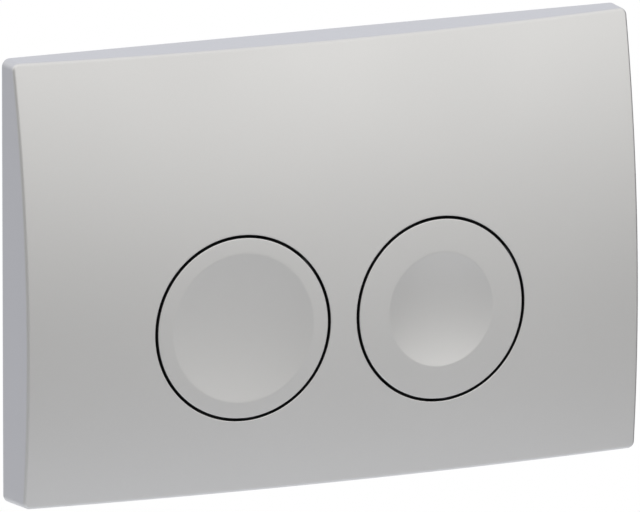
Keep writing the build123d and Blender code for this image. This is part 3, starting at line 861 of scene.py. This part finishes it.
# What, azimuth from the front towards +X, elevation, inner and outer radius, colour, tone
TENT_PATCHES = [
    ("dark behind the camera", -13, -10, 0, 33, "#ffffff", 0.28),
    ("softer light above the front", 30, 50, 5, 32, "#ffffff", 1.12),
    ("dark side on the left", -65, -8, 15, 60, "#ffffff", 0.40),
    ("dark side on the right", 95, -8, 15, 50, "#ffffff", 0.06),
    ("cool shade behind on the left", -150, -12, 15, 50, "#eff2ff", 0.59),
    ("cool back wall", 160, 25, 25, 68, "#f0f3ff", 1.00),
    ("white backdrop", 155, -12, 8, 24, "#ffffff", 1.00),
]


def lit(hex_value, tone):
    """Colour of a part of the tent at a tone, where 1 is white, as a share of the brightest tone."""
    return (*(channel * tone / BRIGHTEST for channel in colour(hex_value)[:3]), 1.0)


def light_tent():
    """World whose tone follows the height of the direction, with round patches mixed over it. A
    patch is full inside its inner radius and gone outside its outer one, in degrees."""
    world = bpy.data.worlds.new("light_tent")
    bpy.context.scene.world = world
    world.use_nodes = True
    tree = world.node_tree
    tree.nodes.clear()
    place = add_node(tree, "ShaderNodeTexCoord").outputs["Generated"]
    parts = add_node(tree, "ShaderNodeSeparateXYZ", links={"Vector": place})
    height = add_node(tree, "ShaderNodeMapRange", values={
        "From Min": -1.0, "From Max": 1.0, "To Min": 0.0, "To Max": 1.0},
        links={"Value": parts.outputs["Z"]})
    sky = add_node(tree, "ShaderNodeValToRGB", links={"Fac": height.outputs["Result"]})
    ramp = sky.color_ramp
    for _ in TENT_TONES[2:]:
        ramp.elements.new(0.5)
    for element, (elevation, tone) in zip(ramp.elements, TENT_TONES):
        element.position = (np.sin(np.radians(elevation)) + 1) / 2
        element.color = lit("#ffffff", tone)
    tent = sky.outputs["Color"]
    for _, azimuth, elevation, inner, outer, hex_value, tone in TENT_PATCHES:
        azimuth, elevation = np.radians([azimuth, elevation])
        level = np.cos(elevation)
        towards = (level * np.sin(azimuth), -level * np.cos(azimuth), np.sin(elevation))
        near = add_node(tree, "ShaderNodeVectorMath", {"operation": "DOT_PRODUCT"},
                        {1: towards}, {0: place})
        share = add_node(tree, "ShaderNodeMapRange", {"interpolation_type": "SMOOTHSTEP"}, {
            "From Min": np.cos(np.radians(outer)), "From Max": np.cos(np.radians(inner)),
            "To Min": 0.0, "To Max": 1.0}, {"Value": near.outputs["Value"]})
        patch = add_node(tree, "ShaderNodeMix", {"data_type": "RGBA"},
                         links={"Factor": share.outputs["Result"]})
        tree.links.new(tent, patch.inputs["A"])
        patch.inputs["B"].default_value = lit(hex_value, tone)
        tent = patch.outputs["Result"]
    glow = add_node(tree, "ShaderNodeBackground", values={"Strength": BRIGHTEST}, links={"Color": tent})
    add_node(tree, "ShaderNodeOutputWorld", links={"Surface": glow.outputs["Background"]})


light_tent()
print("The tent has", len(TENT_TONES), "tones from floor to ceiling and", len(TENT_PATCHES), "patches")

# %% [markdown]
# The floor is a matt pale disc, 0.35 m below the plate's middle. It takes the plate's shadow, throws
# light up onto the rounding of the lower edge, and thins out towards its rim, so that it has no hard
# edge.

# %% The floor
# In metres
FLOOR_HEIGHT, FLOOR_FULL, FLOOR_END = -0.35, 0.30, 0.95


def pale_floor():
    """Matt disc that turns transparent between two distances from its middle."""
    turn = np.linspace(0, 2 * np.pi, 96, endpoint=False)
    rim = stack(FLOOR_END * np.cos(turn), FLOOR_END * np.sin(turn), FLOOR_HEIGHT)
    mesh = bpy.data.meshes.new("floor")
    mesh.from_pydata(rim.tolist(), [], [tuple(range(len(rim)))])
    floor = bpy.data.objects.new("floor", mesh)
    bpy.context.collection.objects.link(floor)
    material, tree, place = new_material("pale_studio_floor")
    speckle = add_node(tree, "ShaderNodeTexNoise", values={"Scale": per_metre(40)},
                       links={"Vector": place})
    tint = add_node(tree, "ShaderNodeMix", {"data_type": "RGBA"}, links={"Factor": speckle.outputs["Fac"]})
    tint.inputs["A"].default_value = colour("#f0f2f6")
    tint.inputs["B"].default_value = colour("#f2f4f8")
    matt = add_node(tree, "ShaderNodeBsdfDiffuse", links={"Color": tint.outputs["Result"]})
    clear = add_node(tree, "ShaderNodeBsdfTransparent")
    parts = add_node(tree, "ShaderNodeSeparateXYZ", links={"Vector": place})
    flat = add_node(tree, "ShaderNodeCombineXYZ", links={
        "X": parts.outputs["X"], "Y": parts.outputs["Y"]})
    away = add_node(tree, "ShaderNodeVectorMath", {"operation": "LENGTH"},
                    links={0: flat.outputs["Vector"]})
    share = add_node(tree, "ShaderNodeMapRange", {"interpolation_type": "SMOOTHSTEP"}, {
        "From Min": FLOOR_FULL, "From Max": FLOOR_END, "To Min": 0.0, "To Max": 1.0},
        {"Value": away.outputs["Value"]})
    thin = add_node(tree, "ShaderNodeMixShader", links={
        0: share.outputs["Result"], 1: matt.outputs["BSDF"], 2: clear.outputs["BSDF"]})
    add_node(tree, "ShaderNodeOutputMaterial", links={"Surface": thin.outputs["Shader"]})
    mesh.materials.append(material)


pale_floor()
print("The floor is full out to", FLOOR_FULL, "m from its middle and clear from", FLOOR_END, "m")

# %% [markdown]
# The camera stands to the left of the plate and a little above it. It is far off and has a long lens,
# so that the plate's opposite edges look nearly parallel.

# %% The camera
# Place in metres, angles in degrees, lens in millimetres
CAMERA_PLACE = (-3.172967, -6.820369, 1.608246)
CAMERA_AZIMUTH, CAMERA_ELEVATION, LENS = 24.973, 12.081, 1190.34


def studio_camera():
    """Camera that looks to the right of straight ahead by its azimuth, and down by its elevation."""
    data = bpy.data.cameras.new("camera")
    camera = bpy.data.objects.new("camera", data)
    bpy.context.collection.objects.link(camera)
    azimuth, elevation = np.radians(CAMERA_AZIMUTH), np.radians(CAMERA_ELEVATION)
    level = np.cos(elevation)
    right = Vector((np.cos(azimuth), -np.sin(azimuth), 0))
    ahead = Vector((np.sin(azimuth) * level, np.cos(azimuth) * level, -np.sin(elevation)))
    facing = Matrix((right, right.cross(ahead), -ahead)).transposed().to_4x4()
    camera.matrix_world = Matrix.Translation(CAMERA_PLACE) @ facing
    data.lens = LENS
    data.sensor_width = 36
    data.clip_end = 30
    bpy.context.scene.camera = camera


studio_camera()
bpy.context.scene.view_settings.view_transform = "Standard"
print("The camera stands", round(Vector(CAMERA_PLACE).length, 2), "m from the plate")
